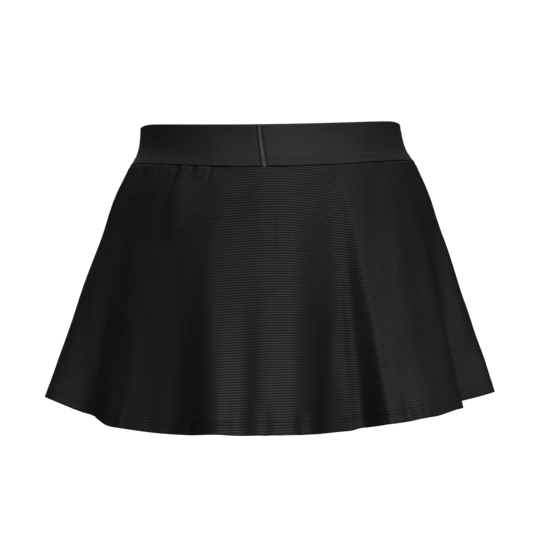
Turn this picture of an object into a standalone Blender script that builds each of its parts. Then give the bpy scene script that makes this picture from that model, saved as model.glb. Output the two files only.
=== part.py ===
"""Tennis skort: an elastic waistband, a flared skirt of two panels, and shorts of two legs inside it.

Metres, +Z up. The wearer faces +Y, so the back is at -Y and the wearer's right side is at +X.
The origin is on the axis of the waist, level with the waistband's top edge at the centre back.
Each cloth piece is a grid laid on a surface that its tables give, thickened inwards.
"""

import math
from collections import namedtuple

import bmesh
import bpy
import numpy as np

MM = 0.001
GARMENT = "tennis_skort"
SEAM_GAP = 0.3 * MM

# Cloth: double elastic for the waistband, rib knit for the skirt, plain jersey for the shorts.
BAND_WALL = 1.8 * MM
SKIRT_WALL = 1.0 * MM
SHORTS_WALL = 1.0 * MM

# Waistband. Both edges rise from the middle towards the sides and dip again at the very side, and
# the lower edge also lies a little to one side.
BAND_HEIGHT = 39.8 * MM
TOP_SIDE_RISE = 3.6 * MM
SEAM_SIDE_RISE = 6.0 * MM
DIP_SHARPNESS = 12
SEAM_SWAY = 1.5 * MM
SEAM_ALLOWANCE = 10 * MM
BandRow = namedtuple("BandRow", "share half_width half_depth")
BAND_ROWS = (
    BandRow(0.00, 0.1295, 0.0950),
    BandRow(0.25, 0.1305, 0.0959),
    BandRow(0.50, 0.1323, 0.0977),
    BandRow(0.72, 0.1355, 0.1002),
    BandRow(1.00, 0.1427, 0.1058),
)

# Raised strip over the centre-back join of the elastic. It leans, the more so the lower down, and
# laps the skirt at its end.
STRIP_WIDTH = 3.2 * MM
STRIP_HEIGHT = 1.3 * MM
STRIP_TOP_ANGLE = -5.4
STRIP_END_ANGLE = -3.7
STRIP_BEND = 0.7
STRIP_LAP = 2.0 * MM

# Skirt. The hem is an ellipse with crests and valleys, and hangs a little to one side.
SKIRT_LENGTH = 0.2523
HEM_HALF_WIDTH = 0.2250
HEM_HALF_DEPTH = 0.1650
HEM_SWAY = -3.5 * MM
HEM_LIFT = 0.275
HEM_SIDE_RISE = 5.0 * MM
FLARE_FULLNESS = 0.09
FOLD_GROWTH = 1.25

# One row for each crest, valley or shoulder of the skirt, right round from side seam to side seam.
# Angles are in degrees from the centre back. Reach is how far it stands out of the hem's ellipse,
# and rise is how far the hem is lifted there. Start is the share of the length where it begins.
# A skew above 1 puts the steepest part of the bank after a row nearer the next row.
Fold = namedtuple("Fold", "name hem_angle seam_angle reach rise start skew", defaults=(1,))
BACK_FOLDS = (
    Fold("left side seam", -90.0, -90.0, -24 * MM, 18 * MM, 0.15),
    Fold("left crest", -70.0, -72.0, 8 * MM, 16.5 * MM, 0.05),
    Fold("left valley", -58.0, -54.0, -19 * MM, 7 * MM, 0.10),
    Fold("left shoulder", -44.5, -46.0, -12.5 * MM, -0.5 * MM, 0.10),
    Fold("mid-left valley", -29.0, -32.5, -18.5 * MM, -2 * MM, 0.17, 1.3),
    Fold("mid-left crest", -11.8, -21.5, 9 * MM, -0.5 * MM, 0.10),
    Fold("centre crease", -7.6, -10.5, 5 * MM, -0.5 * MM, 0.05, 0.85),
    Fold("centre crest", 1.2, -4.2, 8 * MM, -0.5 * MM, 0.02),
    Fold("centre-right crest", 3.4, 6.0, 7.5 * MM, -0.5 * MM, 0.00, 0.95),
    Fold("right valley, left foot", 22.0, 21.2, -33.5 * MM, -0.5 * MM, 0.00),
    Fold("right valley, right foot", 25.2, 23.0, -30.5 * MM, 1.5 * MM, 0.00, 0.95),
    Fold("right crest", 30.8, 28.9, -2 * MM, 4 * MM, 0.05),
    Fold("right panel", 42.0, 44.0, 5 * MM, 6.5 * MM, 0.10),
    Fold("far-right crest", 52.4, 58.0, 5 * MM, 10 * MM, 0.10),
    Fold("far-right valley", 65.0, 66.5, -34 * MM, 12 * MM, 0.15),
    Fold("side crest", 77.5, 76.0, 2 * MM, 16 * MM, 0.05),
    Fold("right side seam", 90.0, 90.0, -22 * MM, 17.5 * MM, 0.15),
)
FRONT_FOLDS = (
    Fold("right side seam", 90.0, 90.0, -22 * MM, 17.5 * MM, 0.15),
    Fold("right front crest", 104.0, 103.0, 4 * MM, 15.5 * MM, 0.10),
    Fold("right front valley", 119.0, 118.0, -24 * MM, 9 * MM, 0.15),
    Fold("right thigh crest", 133.0, 134.0, 5 * MM, 4 * MM, 0.10),
    Fold("right thigh valley", 149.0, 148.0, -21 * MM, 1 * MM, 0.20),
    Fold("right middle crest", 164.0, 160.0, 3 * MM, 0 * MM, 0.12),
    Fold("middle valley", 179.0, 178.0, -17 * MM, 0 * MM, 0.22),
    Fold("left middle crest", 194.0, 196.0, 5 * MM, 0 * MM, 0.10),
    Fold("left thigh valley", 208.0, 209.0, -24 * MM, 1 * MM, 0.15),
    Fold("left thigh crest", 223.0, 221.0, 3 * MM, 4 * MM, 0.10),
    Fold("left front valley", 239.0, 240.0, -20 * MM, 9 * MM, 0.18),
    Fold("left front crest", 254.0, 256.0, 4 * MM, 15.5 * MM, 0.10),
    Fold("left side seam", 270.0, 270.0, -24 * MM, 18 * MM, 0.15),
)

# Shorts, right leg. A section is an ellipse round its own centre, cut off at the middle of the body.
# Where it no longer reaches the middle it is a closed leg, with its two edges meeting at the inseam.
ShortsRow = namedtuple("ShortsRow", "height centre half_width half_depth")
SHORTS_ROWS = (
    ShortsRow(-0.080, 0.0000, 0.1490, 0.1070),
    ShortsRow(-0.120, 0.0000, 0.1585, 0.1115),
    ShortsRow(-0.165, 0.0000, 0.1635, 0.1130),
    ShortsRow(-0.190, 0.0300, 0.1340, 0.1100),
    ShortsRow(-0.206, 0.0560, 0.1080, 0.1045),
    ShortsRow(-0.214, 0.0695, 0.0940, 0.1005),
    ShortsRow(-0.220, 0.0785, 0.0845, 0.0965),
    ShortsRow(-0.225, 0.0825, 0.0824, 0.0940),
    ShortsRow(-0.243, 0.0845, 0.0800, 0.0900),
    ShortsRow(-0.262, 0.0855, 0.0785, 0.0875),
)

# How finely the solids are divided.
BAND_COLUMNS = 96
SHORTS_COLUMNS = 40
SKIRT_ROWS = 10
COLUMN_STEP = 7.5 * MM
LEAST_COLUMNS = 3
STRIP_STATIONS = 12
STRIP_END_STATIONS = 4
STRIP_SIDES = 6
NORMAL_STEP = 1e-4
MERGE = 1e-5

Cloth = namedtuple("Cloth", "name colour roughness")
ELASTIC = Cloth("black elastic", (0.022, 0.020, 0.022, 1.0), 0.62)
RIB_KNIT = Cloth("black rib knit", (0.011, 0.011, 0.012, 1.0), 0.70)
JERSEY = Cloth("black jersey", (0.010, 0.010, 0.011, 1.0), 0.80)


# Surfaces. Each takes a place across the piece and a place down it, and gives a point.


def ellipse(angle, half_width, half_depth):
    """A point of an ellipse seen from above: angle 0 is the centre back, and it grows towards +X."""
    return half_width * np.sin(angle), -half_depth * np.cos(angle)


def ellipse_outward(angle, half_width, half_depth):
    """The direction square to that ellipse, pointing away from the body."""
    x = np.sin(angle) / half_width
    y = -np.cos(angle) / half_depth
    return x / np.hypot(x, y), y / np.hypot(x, y)


def moved(surface, distance):
    """The same surface moved along its own outward direction."""

    def moved_surface(across, down):
        point = surface(across, down)
        along = surface(across + NORMAL_STEP, down) - surface(across - NORMAL_STEP, down)
        below = point - surface(across, down - NORMAL_STEP)
        outward = np.cross(below, along)
        return point + distance * outward / np.linalg.norm(outward)

    return moved_surface


def band_surface(angle, share):
    """The waistband's outer face, from share 0 at its top edge to 1 at its lower edge."""
    shares = [row.share for row in BAND_ROWS]
    half_width = np.interp(share, shares, [row.half_width for row in BAND_ROWS])
    half_depth = np.interp(share, shares, [row.half_depth for row in BAND_ROWS])
    x, y = ellipse(angle, half_width, half_depth)
    sideways = np.sin(angle) ** 2
    rise = (TOP_SIDE_RISE * (1 - share) + SEAM_SIDE_RISE * share) * sideways
    dip = rise * sideways**DIP_SHARPNESS
    return np.array([x + SEAM_SWAY * share, y, rise - dip - BAND_HEIGHT * share])


def between(folds, column, value):
    """A value of the fold table between two rows, eased so that each row is a crest or a foot."""
    bank = min(int(column), len(folds) - 2)
    ease = (1 - math.cos(math.pi * (column - bank) ** folds[bank].skew)) / 2
    return value(folds[bank]) + (value(folds[bank + 1]) - value(folds[bank])) * ease


def fold_angle(folds, column, share):
    """The angle of a column, which counts the rows of the fold table, at a share of the length."""
    bank = min(int(column), len(folds) - 2)
    left, right = folds[bank : bank + 2]
    left_angle = left.seam_angle + (left.hem_angle - left.seam_angle) * share
    right_angle = right.seam_angle + (right.hem_angle - right.seam_angle) * share
    return math.radians(left_angle + (right_angle - left_angle) * (column - bank))


def fold_reach(folds, column, share):
    """How far the skirt stands out of its ellipse: each fold grows from its start down to the hem."""

    def grown(fold):
        return fold.reach * (max(share - fold.start, 0) / (1 - fold.start)) ** FOLD_GROWTH

    return between(folds, column, grown)


def hem_ring(angle):
    """The hem's ellipse seen from above, before the folds."""
    x, y = ellipse(angle, HEM_HALF_WIDTH, HEM_HALF_DEPTH)
    return np.array([x + HEM_SWAY, y])


def hem_plan(folds, column):
    """Where a column of the skirt ends at the hem, seen from above."""
    angle = fold_angle(folds, column, 1)
    outward = np.array(ellipse_outward(angle, HEM_HALF_WIDTH, HEM_HALF_DEPTH))
    return hem_ring(angle) + outward * fold_reach(folds, column, 1)


def skirt_seam_point(angle, above=0.0):
    """The skirt's outer face under the waistband, at its lower edge or that far above it."""
    inset = BAND_WALL + 1.5 * SEAM_GAP
    return moved(band_surface, -inset)(angle, 1 - above / BAND_HEIGHT)


def skirt_surface(folds, column, share):
    """The skirt's outer face, from share 0 at the waistband's lower edge to 1 at the hem.

    A share below 0 is the seam allowance inside the waistband.
    """
    if share < 0:
        return skirt_seam_point(fold_angle(folds, column, 0), -share * SKIRT_LENGTH)
    angle = fold_angle(folds, column, share)
    seam = skirt_seam_point(angle)
    flare = share + FLARE_FULLNESS * math.sin(math.pi * share) * (1 - share)
    half_width = np.interp(flare, [0, 1], [BAND_ROWS[-1].half_width, HEM_HALF_WIDTH])
    half_depth = np.interp(flare, [0, 1], [BAND_ROWS[-1].half_depth, HEM_HALF_DEPTH])
    outward = np.array(ellipse_outward(angle, half_width, half_depth))
    plan = seam[:2] + (hem_ring(angle) - seam[:2]) * flare
    x, y = plan + outward * fold_reach(folds, column, share)
    seam_plan = skirt_seam_point(fold_angle(folds, column, 0))[:2]
    spread = np.linalg.norm(hem_plan(folds, column) - seam_plan)
    rise = between(folds, column, lambda fold: fold.rise)
    drop = SKIRT_LENGTH - HEM_LIFT * spread**2 / SKIRT_LENGTH - rise
    hem_height = HEM_SIDE_RISE * math.sin(angle) ** 2 - BAND_HEIGHT - drop
    return np.array([x, y, seam[2] + (hem_height - seam[2]) * share])


def shorts_surface(side, across, row):
    """A leg's outer face. Side is 1 for the wearer's right and -1 for the left.

    Across runs 0 to 1 from the back edge round the side to the front edge. Row 0 is at the
    waistband's lower edge, -1 is the top of the seam allowance, and 1 on count SHORTS_ROWS.
    """
    apart = side * SEAM_GAP / 2
    if row <= 0:
        inset = BAND_WALL + SKIRT_WALL + 3 * SEAM_GAP
        share = 1 + row * SEAM_ALLOWANCE / BAND_HEIGHT
        return moved(band_surface, -inset)(side * math.pi * across, share) + np.array([apart, 0, 0])
    section = SHORTS_ROWS[row - 1]
    if section.half_width > section.centre:
        start = -math.asin(section.centre / section.half_width)
    else:
        start = -math.pi / 2 + SEAM_GAP / (2 * section.half_depth)
    angle = start + (math.pi - 2 * start) * across
    x, y = ellipse(angle, section.half_width, section.half_depth)
    return np.array([side * (section.centre + x) + apart, y, section.height])


# Pieces.


def cloth_material(cloth):
    material = bpy.data.materials.get(cloth.name) or bpy.data.materials.new(cloth.name)
    material.use_nodes = True
    shader = material.node_tree.nodes["Principled BSDF"]
    shader.inputs["Base Color"].default_value = cloth.colour
    shader.inputs["Roughness"].default_value = cloth.roughness
    shader.inputs["Metallic"].default_value = 0.0
    return material


def add_piece(name, shape, cloth, collection):
    """Turns a bmesh into a named object with its material."""
    mesh = bpy.data.meshes.new(name)
    shape.to_mesh(mesh)
    shape.free()
    mesh.shade_smooth()
    mesh.materials.append(cloth_material(cloth))
    piece = bpy.data.objects.new(name, mesh)
    collection.objects.link(piece)
    return piece


def add_cloth(name, surface, columns, rows, wall, cloth, collection):
    """A grid of columns and rows laid on a surface, then thickened inwards into a wall."""
    shape = bmesh.new()
    bmesh.ops.create_grid(shape, x_segments=len(columns) - 1, y_segments=len(rows) - 1, size=1.0)
    for vertex in shape.verts:
        column = round((1 + vertex.co.x) / 2 * (len(columns) - 1))
        row = round((1 - vertex.co.y) / 2 * (len(rows) - 1))
        vertex.co = surface(columns[column], rows[row])
    bmesh.ops.remove_doubles(shape, verts=shape.verts, dist=MERGE)
    piece = add_piece(name, shape, cloth, collection)
    thickness = piece.modifiers.new("wall", "SOLIDIFY")
    thickness.thickness = wall
    thickness.offset = -1
    thickness.use_even_offset = True
    return piece


def build_waistband(collection):
    angles = np.linspace(-math.pi, math.pi, BAND_COLUMNS + 1)
    shares = [row.share for row in BAND_ROWS]
    return add_cloth("waistband", band_surface, angles, shares, BAND_WALL, ELASTIC, collection)


def build_waistband_seam(collection):
    """A half-round strip lofted down the waistband, rounded off at its lower end."""
    end_share = 1 + STRIP_LAP / BAND_HEIGHT
    round_share = end_share - STRIP_WIDTH / 2 / BAND_HEIGHT
    straight = np.linspace(0, round_share, STRIP_STATIONS)
    turns = np.linspace(0, math.pi / 2, STRIP_END_STATIONS + 2)[1:-1]
    stations = [(share, 1.0) for share in straight]
    stations += [(round_share + (end_share - round_share) * math.sin(t), math.cos(t)) for t in turns]
    shape = bmesh.new()
    rings = []
    for share, narrowing in stations:
        lower = min(share, 1)
        lean = lower * (1 - STRIP_BEND) + lower**2 * STRIP_BEND
        middle = math.radians(STRIP_TOP_ANGLE + (STRIP_END_ANGLE - STRIP_TOP_ANGLE) * lean)
        ring = []
        for side in range(STRIP_SIDES + 1):
            turn = math.pi * side / STRIP_SIDES
            lateral = STRIP_WIDTH / 2 * narrowing * math.cos(turn)
            proud = SEAM_GAP + STRIP_HEIGHT * math.sqrt(narrowing) * math.sin(turn)
            angle = middle + lateral / BAND_ROWS[-1].half_width
            ring.append(shape.verts.new(moved(band_surface, proud)(angle, share)))
        rings.append(ring)
    for upper, lower in zip(rings, rings[1:]):
        for side in range(-1, STRIP_SIDES):
            shape.faces.new((upper[side], upper[side + 1], lower[side + 1], lower[side]))
    shape.faces.new(rings[0][::-1])
    shape.faces.new(rings[-1])
    bmesh.ops.recalc_face_normals(shape, faces=shape.faces)
    return add_piece("waistband_seam", shape, ELASTIC, collection)


def skirt_columns(folds):
    """Column places, closer together where a bank between two folds is short."""
    columns = [0.0]
    for bank in range(len(folds) - 1):
        width = np.linalg.norm(hem_plan(folds, bank + 1) - hem_plan(folds, bank))
        count = max(LEAST_COLUMNS, math.ceil(width / COLUMN_STEP))
        columns += [bank + (step + 1) / count for step in range(count)]
    return columns


def build_skirt_panel(name, folds, side, collection):
    """One panel. Side is -1 for the back and 1 for the front, which stand a seam gap apart."""
    apart = np.array([0, side * SEAM_GAP / 2, 0])
    rows = [-SEAM_ALLOWANCE / SKIRT_LENGTH] + list(np.linspace(0, 1, SKIRT_ROWS + 1))
    return add_cloth(
        name,
        lambda column, share: skirt_surface(folds, column, share) + apart,
        skirt_columns(folds),
        rows,
        SKIRT_WALL,
        RIB_KNIT,
        collection,
    )


def build_shorts_leg(name, side, collection):
    """One leg, laid from back to front on the right and from front to back on the left."""
    columns = np.linspace(0, 1, SHORTS_COLUMNS + 1)[::side]
    rows = range(-1, len(SHORTS_ROWS) + 1)
    return add_cloth(
        name,
        lambda across, row: shorts_surface(side, across, row),
        columns,
        rows,
        SHORTS_WALL,
        JERSEY,
        collection,
    )


def main():
    for item in list(bpy.data.objects):
        bpy.data.objects.remove(item)
    collection = bpy.data.collections.new(GARMENT)
    bpy.context.scene.collection.children.link(collection)
    build_waistband(collection)
    build_waistband_seam(collection)
    build_skirt_panel("skirt_back", BACK_FOLDS, -1, collection)
    build_skirt_panel("skirt_front", FRONT_FOLDS, 1, collection)
    build_shorts_leg("shorts_right", 1, collection)
    build_shorts_leg("shorts_left", -1, collection)


main()
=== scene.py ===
import math
from collections import namedtuple

import bpy
import numpy as np
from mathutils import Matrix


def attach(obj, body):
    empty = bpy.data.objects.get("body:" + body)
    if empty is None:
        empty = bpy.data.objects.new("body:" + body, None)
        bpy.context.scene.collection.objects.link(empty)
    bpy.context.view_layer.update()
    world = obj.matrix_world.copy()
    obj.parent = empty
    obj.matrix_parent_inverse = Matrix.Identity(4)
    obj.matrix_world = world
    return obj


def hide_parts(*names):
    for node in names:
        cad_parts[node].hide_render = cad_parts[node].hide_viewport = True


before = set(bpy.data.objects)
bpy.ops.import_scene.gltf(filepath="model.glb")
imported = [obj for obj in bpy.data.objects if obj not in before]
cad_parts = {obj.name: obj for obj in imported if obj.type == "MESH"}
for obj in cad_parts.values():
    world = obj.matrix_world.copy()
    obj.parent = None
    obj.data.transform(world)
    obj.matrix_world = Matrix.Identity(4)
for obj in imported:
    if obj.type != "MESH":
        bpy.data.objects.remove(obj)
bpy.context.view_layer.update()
print("frame loaded:", ", ".join(sorted(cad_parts)))

mm = 0.001
seamGap = 0.3 * mm  # pieces that are sewn together stand this far apart


# small helpers for tables and smooth curves

def tableColumn(rows, name):
    return np.array([getattr(row, name) for row in rows], float)


def throughTable(place, places, values):
    # a smooth curve through a table's rows
    slopes = np.gradient(values, places)
    place = np.clip(place, places[0], places[-1])
    bank = np.clip(np.searchsorted(places, place, side="right") - 1, 0, len(places) - 2)
    width = places[bank + 1] - places[bank]
    part = (place - places[bank]) / width
    rest = 1 - part
    start = rest**2 * ((1 + 2 * part) * values[bank] + part * width * slopes[bank])
    end = part**2 * ((3 - 2 * part) * values[bank + 1] - rest * width * slopes[bank + 1])
    return start + end


def smoothStep(value):
    value = np.clip(value, 0, 1)
    return value * value * (3 - 2 * value)


def ellipsePoint(angle, halfWidth, halfDepth):
    # seen from above: angle 0 is the centre back, and it grows towards +X
    return halfWidth * np.sin(angle), -halfDepth * np.cos(angle)


def ellipseOutward(angle, halfWidth, halfDepth):
    x = np.sin(angle) / halfWidth
    y = -np.cos(angle) / halfDepth
    return x / np.hypot(x, y), y / np.hypot(x, y)


def outwardOf(surface, across, down):
    # the direction that the cloth faces at each point
    step = 1e-4
    point = surface(across, down)
    along = surface(across + step, down) - surface(across - step, down)
    below = point - surface(across, down - step)
    outward = np.cross(below, along)
    return point, outward / np.linalg.norm(outward, axis=-1, keepdims=True)


def wander(x, y, rows):
    # slow uneven waves, each row a length across, a length down, a height and a start
    total = 0
    for across, down, height, start in rows:
        total = total + height * np.sin(2 * math.pi * (x / across + y / down) + start)
    return total


# the waistband: rings of its outer face, from the top edge down
ringRow = namedtuple("ringRow", "share halfWidth halfDepth")
band = {
    "height": 39.8 * mm,
    "wall": 1.8 * mm,
    "topRise": 3.6 * mm,  # both edges rise towards the sides
    "lowerRise": 6.0 * mm,
    "dip": 12,  # and dip again at the very side, the more sharply the higher this is
    "sway": 1.5 * mm,
    "columns": 420,
    "stripColumns": (-7.0, 2.0, 0.25),  # more columns beside the strip: from, to and step, in degrees
    "edgeRound": 0.45 * mm,
    "cutRadius": 0.116,  # turns an angle into a length along the flat cut
    "rings": (
        ringRow(0.00, 0.1295, 0.0950),
        ringRow(0.25, 0.1305, 0.0959),
        ringRow(0.50, 0.1323, 0.0977),
        ringRow(0.72, 0.1355, 0.1002),
        ringRow(1.00, 0.1427, 0.1058),
    ),
}


def bandPoint(angle, share):
    shares = tableColumn(band["rings"], "share")
    halfWidth = throughTable(share, shares, tableColumn(band["rings"], "halfWidth"))
    halfDepth = throughTable(share, shares, tableColumn(band["rings"], "halfDepth"))
    x, y = ellipsePoint(angle, halfWidth, halfDepth)
    sideways = np.sin(angle) ** 2
    rise = (band["topRise"] * (1 - share) + band["lowerRise"] * share) * sideways
    z = rise * (1 - sideways ** band["dip"]) - band["height"] * share
    return np.stack(np.broadcast_arrays(x + band["sway"] * share, y, z), axis=-1)


# the skirt: one row for each crest, valley or shoulder, right round from side seam to side seam
# (a skew above 1 puts the steepest part of the bank after a row nearer the next row)
foldRow = namedtuple("foldRow", "name hemAngle seamAngle reach rise start skew", defaults=(1,))


def foldTable(*rows):
    # reach and rise are given in millimetres
    return [foldRow(*row[:3], row[3] * mm, row[4] * mm, *row[5:]) for row in rows]


skirt = {
    "length": 0.2523,
    "wall": 1.0 * mm,
    "allowance": 10 * mm,
    "hemHalfWidth": 0.2250,
    "hemHalfDepth": 0.1650,
    "hemSway": -3.5 * mm,
    "hemLift": 0.275,
    "hemSideRise": 5.0 * mm,
    "fullness": 0.09,
    "growth": 1.25,
    "bulge": 2.3 * mm,  # how far the gathers push the skirt out just below the waistband
    "bulgeEnd": 0.32,  # and the share of its length where that ends
    "bulgeFade": 0.24,
    "backFolds": foldTable(
        ("left side seam", -90.0, -90.0, -24, 18, 0.15),
        ("left crest", -70.0, -72.0, 8, 16.5, 0.05),
        ("left valley", -58.0, -54.0, -19, 7, 0.10),
        ("left shoulder", -44.5, -46.0, -12.5, -0.5, 0.10),
        ("mid-left valley", -29.0, -32.5, -18.5, -2, 0.17, 1.3),
        ("mid-left crest", -11.8, -21.5, 9, -0.5, 0.10),
        ("centre crease", -7.6, -10.5, 5, -0.5, 0.05, 0.85),
        ("centre crest", 1.2, -4.2, 8, -0.5, 0.02),
        ("centre-right crest", 3.4, 6.0, 7.5, -0.5, 0.00, 0.95),
        ("right valley, left foot", 22.0, 21.2, -33.5, -0.5, 0.00),
        ("right valley, right foot", 25.2, 23.0, -30.5, 1.5, 0.00, 0.95),
        ("right crest", 30.8, 28.9, -2, 4, 0.05),
        ("right panel", 42.0, 44.0, 5, 6.5, 0.10),
        ("far-right crest", 52.4, 58.0, 5, 10, 0.10),
        ("far-right valley", 65.0, 66.5, -34, 12, 0.15),
        ("side crest", 77.5, 76.0, 2, 16, 0.05),
        ("right side seam", 90.0, 90.0, -22, 17.5, 0.15),
    ),
    "frontFolds": foldTable(
        ("right side seam", 90.0, 90.0, -22, 17.5, 0.15),
        ("right front crest", 104.0, 103.0, 4, 15.5, 0.10),
        ("right front valley", 119.0, 118.0, -24, 9, 0.15),
        ("right thigh crest", 133.0, 134.0, 5, 4, 0.10),
        ("right thigh valley", 149.0, 148.0, -21, 1, 0.20),
        ("right middle crest", 164.0, 160.0, 3, 0, 0.12),
        ("middle valley", 179.0, 178.0, -17, 0, 0.22),
        ("left middle crest", 194.0, 196.0, 5, 0, 0.10),
        ("left thigh valley", 208.0, 209.0, -24, 1, 0.15),
        ("left thigh crest", 223.0, 221.0, 3, 4, 0.10),
        ("left front valley", 239.0, 240.0, -20, 9, 0.18),
        ("left front crest", 254.0, 256.0, 4, 15.5, 0.10),
        ("left side seam", 270.0, 270.0, -24, 18, 0.15),
    ),
}


def foldPlace(folds, place):
    # a place counts the rows of the fold table; the bank is the stretch between two of them
    bank = np.clip(np.floor(place).astype(int), 0, len(folds) - 2)
    part = place - bank
    skew = tableColumn(folds, "skew")[bank]
    return bank, part, (1 - np.cos(math.pi * part**skew)) / 2


def foldAngle(folds, place, share):
    bank, part, ease = foldPlace(folds, place)
    seamAngle = tableColumn(folds, "seamAngle")
    hemAngle = tableColumn(folds, "hemAngle")
    angle = seamAngle + (hemAngle - seamAngle) * np.expand_dims(share, -1)
    left = np.take_along_axis(angle, np.expand_dims(bank, -1), -1)[..., 0]
    right = np.take_along_axis(angle, np.expand_dims(bank + 1, -1), -1)[..., 0]
    return np.radians(left + (right - left) * part)


def foldReach(folds, place, share):
    # each fold grows from its start down to the hem
    bank, part, ease = foldPlace(folds, place)
    reach = tableColumn(folds, "reach")
    start = tableColumn(folds, "start")

    def grown(row):
        return reach[row] * (np.maximum(share - start[row], 0) / (1 - start[row])) ** skirt["growth"]

    return grown(bank) + (grown(bank + 1) - grown(bank)) * ease


def hemRing(angle):
    x, y = ellipsePoint(angle, skirt["hemHalfWidth"], skirt["hemHalfDepth"])
    return np.stack([x + skirt["hemSway"], y], axis=-1)


def skirtSeam(angle, above):
    # where the skirt meets the waistband's lower edge, or that far above it inside the band
    inset = band["wall"] + 1.5 * seamGap
    point, outward = outwardOf(bandPoint, angle, 1 - above / band["height"])
    return point - inset * outward


def skirtPoint(folds, place, share):
    place, share = np.broadcast_arrays(place, share)
    down = np.maximum(share, 0)
    angle = foldAngle(folds, place, down)
    seam = skirtSeam(angle, np.zeros_like(angle))
    flare = down + skirt["fullness"] * np.sin(math.pi * down) * (1 - down)
    topRing = band["rings"][-1]
    halfWidth = topRing.halfWidth + (skirt["hemHalfWidth"] - topRing.halfWidth) * np.clip(flare, 0, 1)
    halfDepth = topRing.halfDepth + (skirt["hemHalfDepth"] - topRing.halfDepth) * np.clip(flare, 0, 1)
    outward = np.stack(ellipseOutward(angle, halfWidth, halfDepth), axis=-1)
    reach = foldReach(folds, place, down)
    plan = seam[..., :2] + (hemRing(angle) - seam[..., :2]) * flare[..., None]
    plan = plan + outward * reach[..., None]
    hemAngle = foldAngle(folds, place, np.ones_like(down))
    hemOutward = ellipseOutward(hemAngle, skirt["hemHalfWidth"], skirt["hemHalfDepth"])
    hemReach = foldReach(folds, place, np.ones_like(down))
    hemPlan = hemRing(hemAngle) + np.stack(hemOutward, axis=-1) * hemReach[..., None]
    topAngle = foldAngle(folds, place, np.zeros_like(down))
    spread = np.linalg.norm(hemPlan - skirtSeam(topAngle, np.zeros_like(topAngle))[..., :2], axis=-1)
    bank, part, ease = foldPlace(folds, place)
    riseColumn = tableColumn(folds, "rise")
    rise = riseColumn[bank] + (riseColumn[bank + 1] - riseColumn[bank]) * ease
    drop = skirt["length"] - skirt["hemLift"] * spread**2 / skirt["length"] - rise
    hemHeight = skirt["hemSideRise"] * np.sin(angle) ** 2 - band["height"] - drop
    height = seam[..., 2] + (hemHeight - seam[..., 2]) * down
    hanging = np.concatenate([plan, height[..., None]], axis=-1)
    inBand = skirtSeam(topAngle, np.maximum(-share, 0) * skirt["length"])
    return np.where((share < 0)[..., None], inBand, hanging)


# meshes

def meshPiece(name, points, faces, uv, uvName="cut"):
    mesh = bpy.data.meshes.new(name)
    mesh.from_pydata(np.reshape(points, (-1, 3)).tolist(), [], faces)
    mesh.validate()
    layer = mesh.uv_layers.new(name=uvName)
    corners = np.zeros(len(mesh.loops), int)
    mesh.loops.foreach_get("vertex_index", corners)
    layer.data.foreach_set("uv", np.reshape(uv, (-1, 2))[corners].ravel())
    mesh.shade_smooth()
    piece = bpy.data.objects.new(name, mesh)
    bpy.context.scene.collection.objects.link(piece)
    return piece


def sheetFaces(numbers, roundAcross):
    # quads of a grid of vertex numbers whose rows form a loop: down the outside, round the edge,
    # and up the inside. A row that has run into an edge repeats its numbers, and is left out there.
    below = np.roll(numbers, -1, axis=0)
    if roundAcross:
        right, belowRight = np.roll(numbers, -1, axis=1), np.roll(below, -1, axis=1)
        left, belowLeft = numbers, below
    else:
        left, right = numbers[:, :-1], numbers[:, 1:]
        belowLeft, belowRight = below[:, :-1], below[:, 1:]
    quads = np.stack([left, belowLeft, belowRight, right], axis=-1).reshape(-1, 4)
    faces = []
    for quad in quads.tolist():
        corners = [corner for index, corner in enumerate(quad) if corner != quad[index - 1]]
        if len(set(corners)) > 2:
            faces.append(corners)
    return faces


def rowTable(rows, columns):
    # rows are (share, depth under the outer face): both right across a sheet
    share = np.tile(np.array([row[0] for row in rows], float)[:, None], columns)
    return share, np.array([row[1] for row in rows])[:, None]


def arcAcross(point):
    # how far each point is from the first end of its row, along the cloth
    steps = np.linalg.norm(np.diff(point, axis=1), axis=2)
    return np.concatenate([np.zeros((len(point), 1)), np.cumsum(steps, axis=1)], axis=1)


def arcFromEnds(point):
    return np.minimum(arcAcross(point), arcAcross(point[:, ::-1])[:, ::-1])


def zipChains(first, second, facing):
    # triangles between two edges of a wall; each edge is a list of (share, vertex number)
    faces = []
    a = b = 0
    while a < len(first) - 1 or b < len(second) - 1:
        onFirst, onSecond = a < len(first) - 1, b < len(second) - 1
        if not onSecond or (onFirst and first[a + 1][0] <= second[b + 1][0]):
            face = [first[a][1], first[a + 1][1], second[b][1]]
            a += 1
        else:
            face = [first[a][1], second[b + 1][1], second[b][1]]
            b += 1
        if len(set(face)) == 3:
            faces.append(face if facing else face[::-1])
    return faces


def endWalls(share, numbers, outer):
    # the wall at both ends of a sheet, between its outer rows and its inner ones
    faces = []
    for column, facing in ((0, True), (-1, False)):
        chain = list(zip(share[:, column], numbers[:, column].tolist()))
        faces += zipChains(chain[:outer], chain[outer - 1 :][::-1], facing)
    return faces


# the knit: horizontal ribs run straight across each panel's flat cut, which is part of a ring
knit = {
    "ribPitch": 2.43 * mm,
    "ribDepth": 0.7 * mm,
    "ribRound": 0.7,  # below 1, ribs are round on top with a narrow furrow between them
    "hemEase": 0.75,  # the ribs are that much flatter at the hem
    "rowsPerRib": 4,
    "edgeFade": 1.5 * mm,  # the ribs are pressed flat where they run into an edge
    "columnStep": 3.7 * mm,
    "seamColumns": (0.9 * mm, 2.2 * mm),
    "hemFold": 13 * mm,
    "hemLayer": 0.85 * mm,
    "hemLip": 0.35 * mm,  # the hem's edge is rounded off that far below it
    "innerRows": 34,
    "seamPinch": 0.45 * mm,
    "seamPinchWidth": 1.3 * mm,
}

# soft troughs and ridges: where each starts and ends, as an angle from the centre back and a share
# of the skirt's length, then its width and its height in millimetres
creaseRow = namedtuple("creaseRow", "topAngle topShare endAngle endShare width height")


def creaseTable(*rows):
    return [creaseRow(*row[:4], row[4] * mm, row[5] * mm) for row in rows]


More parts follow.
